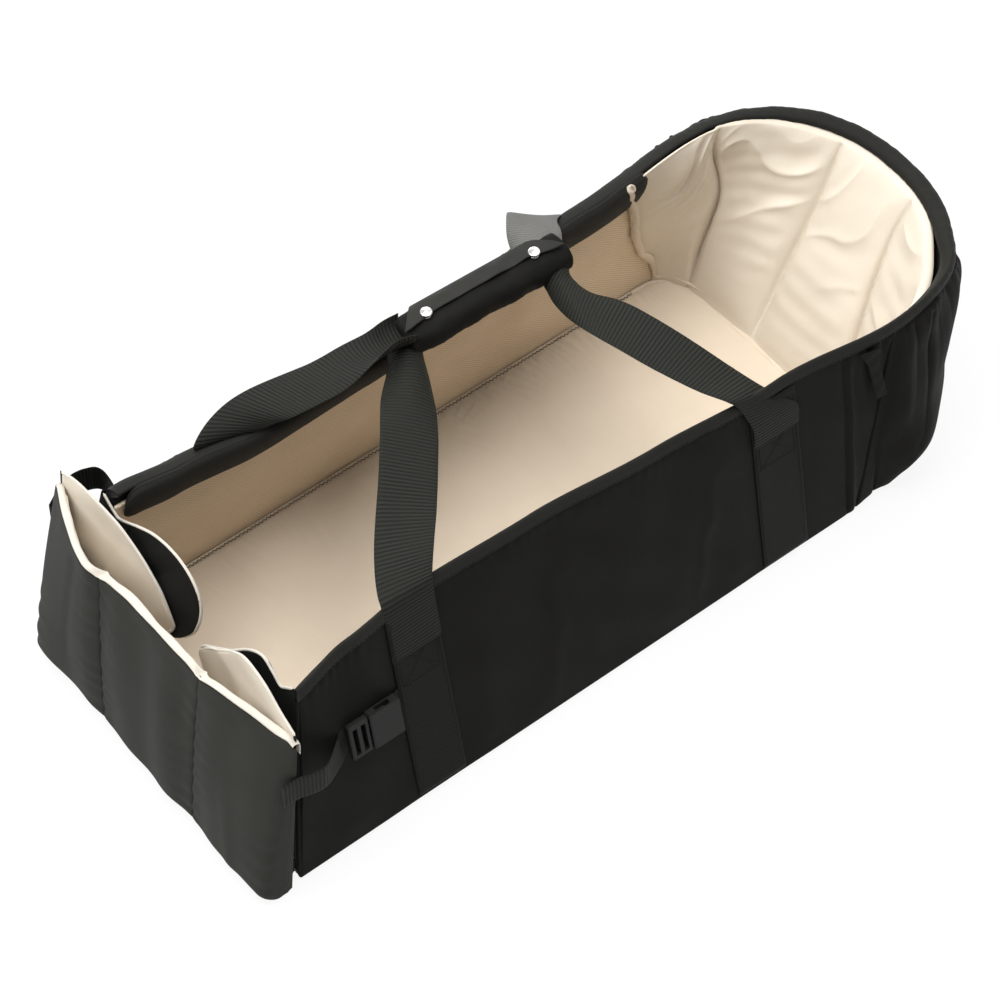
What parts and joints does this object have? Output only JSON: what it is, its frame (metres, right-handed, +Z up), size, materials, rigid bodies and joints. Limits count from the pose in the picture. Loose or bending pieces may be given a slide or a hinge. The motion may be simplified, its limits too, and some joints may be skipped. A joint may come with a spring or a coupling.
{
  "type": "carrycot",
  "caption": "Soft carrycot with a rounded, gathered head end, a padded drop-down foot flap on buckles, folded corner gussets, sewn slings and two carrying handles joined in a padded wrap",
  "frame": {"origin": "centre of the base's underside, midway between the tips of the foot flap and the head", "axes": "+X along the cot to the head end, +Y across to the far side with the joined handles, +Z up"},
  "size_m": [0.8398, 0.3436, 0.2592],
  "materials": {
    "shell_fabric": "smooth woven",
    "flap_fabric": "smooth woven",
    "lining_fabric": "brushed cotton",
    "mesh_fabric": "spacer mesh",
    "piping_fabric": "plain woven",
    "webbing": "ribbed webbing",
    "foam": "open foam",
    "board": "matte",
    "buckle_plastic": "satin moulded",
    "snap_metal": "polished"
  },
  "bodies": {
    "tub": {"base_cover": "shell_fabric", "base_board": "board", "floor_foam": "foam", "floor_liner": "lining_fabric", "near_side_shell": "shell_fabric", "far_side_shell": "shell_fabric", "near_side_foam": "foam", "far_side_foam": "foam", "near_mesh_liner": "mesh_fabric", "far_mesh_liner": "mesh_fabric", "near_rim_roll": "shell_fabric", "far_rim_roll": "shell_fabric", "head_shell": "shell_fabric", "head_wadding": "foam", "head_liner": "lining_fabric", "rim_binding": "shell_fabric", "foot_sling_strap": "webbing", "head_sling_strap": "webbing", "near_buckle_socket": "buckle_plastic", "far_buckle_socket": "buckle_plastic", "near_socket_strap": "webbing", "far_socket_strap": "webbing", "near_head_tab": "shell_fabric", "flap_hinge_strip": "shell_fabric"},
    "foot_flap": {"flap_shell": "flap_fabric", "flap_wadding": "foam", "flap_lining": "lining_fabric", "flap_top_binding": "piping_fabric", "near_flap_strap": "webbing", "far_flap_strap": "webbing", "near_buckle_clip": "buckle_plastic", "far_buckle_clip": "buckle_plastic"},
    "near_rear_gusset": {"near_rear_gusset": "shell_fabric"},
    "far_rear_gusset": {"far_rear_gusset": "shell_fabric"},
    "near_front_gusset": {"near_front_gusset": "shell_fabric"},
    "far_front_gusset": {"far_front_gusset": "shell_fabric"},
    "near_upper_arm": {"near_clip_upper_arm": "buckle_plastic"},
    "near_lower_arm": {"near_clip_lower_arm": "buckle_plastic"},
    "far_upper_arm": {"far_clip_upper_arm": "buckle_plastic"},
    "far_lower_arm": {"far_clip_lower_arm": "buckle_plastic"},
    "handle": {"near_handle_webbing": "webbing", "grip_sleeve": "shell_fabric", "far_webbing_core": "webbing", "foot_snap_stud": "snap_metal", "head_snap_stud": "snap_metal"},
    "grip_leaf": {"grip_leaf": "shell_fabric", "foot_snap_cap": "snap_metal", "head_snap_cap": "snap_metal"},
    "far_handle": {"far_handle_foot_leg": "webbing", "far_handle_head_leg": "webbing"}
  },
  "joints": [
    {"name": "foot_flap_fold", "type": "hinge", "parent": "tub", "child": "foot_flap", "pos_m": [-0.4, 0, 0.0192], "axis": [0, -1, 0], "range_deg": [0, 76], "deforming": ["near_rear_gusset", "far_rear_gusset", "near_front_gusset", "far_front_gusset", "near_flap_strap", "far_flap_strap", "near_clip_upper_arm", "near_clip_lower_arm", "far_clip_upper_arm", "far_clip_lower_arm"]},
    {"name": "near_rear_gusset_fold", "type": "hinge", "parent": "tub", "child": "near_rear_gusset", "pos_m": [-0.37867, -0.163, 0.005], "axis": [0.143, 0.1438, 0.9792], "range_deg": [0, 82], "deforming": ["near_rear_gusset"]},
    {"name": "near_front_gusset_fold", "type": "hinge", "parent": "foot_flap", "child": "near_front_gusset", "pos_m": [-0.38523, -0.164, 0.005], "axis": [-0.0744, 0, -0.9972], "range_deg": [0, 69], "deforming": ["near_front_gusset"]},
    {"name": "far_rear_gusset_fold", "type": "hinge", "parent": "tub", "child": "far_rear_gusset", "pos_m": [-0.37867, 0.163, 0.005], "axis": [-0.143, 0.1438, -0.9792], "range_deg": [0, 82], "deforming": ["far_rear_gusset"]},
    {"name": "far_front_gusset_fold", "type": "hinge", "parent": "foot_flap", "child": "far_front_gusset", "pos_m": [-0.38523, 0.164, 0.005], "axis": [0.0744, 0, 0.9972], "range_deg": [0, 69], "deforming": ["far_front_gusset"]},
    {"name": "near_handle_lift", "type": "hinge", "parent": "tub", "child": "handle", "pos_m": [-0.2255, -0.1203, 0.2272], "axis": [0.999, -0.0449, 0], "range_deg": [0, 50], "deforming": ["far_handle_foot_leg", "far_handle_head_leg"]},
    {"name": "far_handle_lift", "type": "hinge", "parent": "tub", "child": "far_handle", "pos_m": [-0.2255, 0.1203, 0.2272], "axis": [-0.999, -0.0449, 0], "range_deg": [0, 34], "deforming": ["far_handle_foot_leg", "far_handle_head_leg"]},
    {"name": "grip_leaf_open", "type": "hinge", "parent": "handle", "child": "grip_leaf", "pos_m": [0.01013, 0.09999, 0.254], "axis": [-0.9993, 0.0368, 0], "range_deg": [0, 150]},
    {"name": "near_upper_squeeze", "type": "slide", "parent": "foot_flap", "child": "near_upper_arm", "axis": [0, -0.1806, -0.9836], "range_m": [0, 0.003], "stiffness_N_per_m": 400, "deforming": ["near_clip_upper_arm"]},
    {"name": "near_lower_squeeze", "type": "slide", "parent": "foot_flap", "child": "near_lower_arm", "axis": [0, 0.1806, 0.9836], "range_m": [0, 0.003], "stiffness_N_per_m": 400, "deforming": ["near_clip_lower_arm"]},
    {"name": "far_upper_squeeze", "type": "slide", "parent": "foot_flap", "child": "far_upper_arm", "axis": [0, 0.1806, -0.9836], "range_m": [0, 0.003], "stiffness_N_per_m": 400, "deforming": ["far_clip_upper_arm"]},
    {"name": "far_lower_squeeze", "type": "slide", "parent": "foot_flap", "child": "far_lower_arm", "axis": [0, -0.1806, 0.9836], "range_m": [0, 0.003], "stiffness_N_per_m": 400, "deforming": ["far_clip_lower_arm"]}
  ],
  "couplings": [
    {"joint": "near_rear_gusset_fold", "follows": "foot_flap_fold", "ratio": 1.054},
    {"joint": "near_front_gusset_fold", "follows": "foot_flap_fold", "ratio": 0.883},
    {"joint": "far_rear_gusset_fold", "follows": "foot_flap_fold", "ratio": 1.054},
    {"joint": "far_front_gusset_fold", "follows": "foot_flap_fold", "ratio": 0.883},
    {"joint": "far_handle_lift", "follows": "near_handle_lift", "ratio": 0.66},
    {"joint": "near_lower_squeeze", "follows": "near_upper_squeeze", "ratio": 1},
    {"joint": "far_lower_squeeze", "follows": "far_upper_squeeze", "ratio": 1}
  ]
}
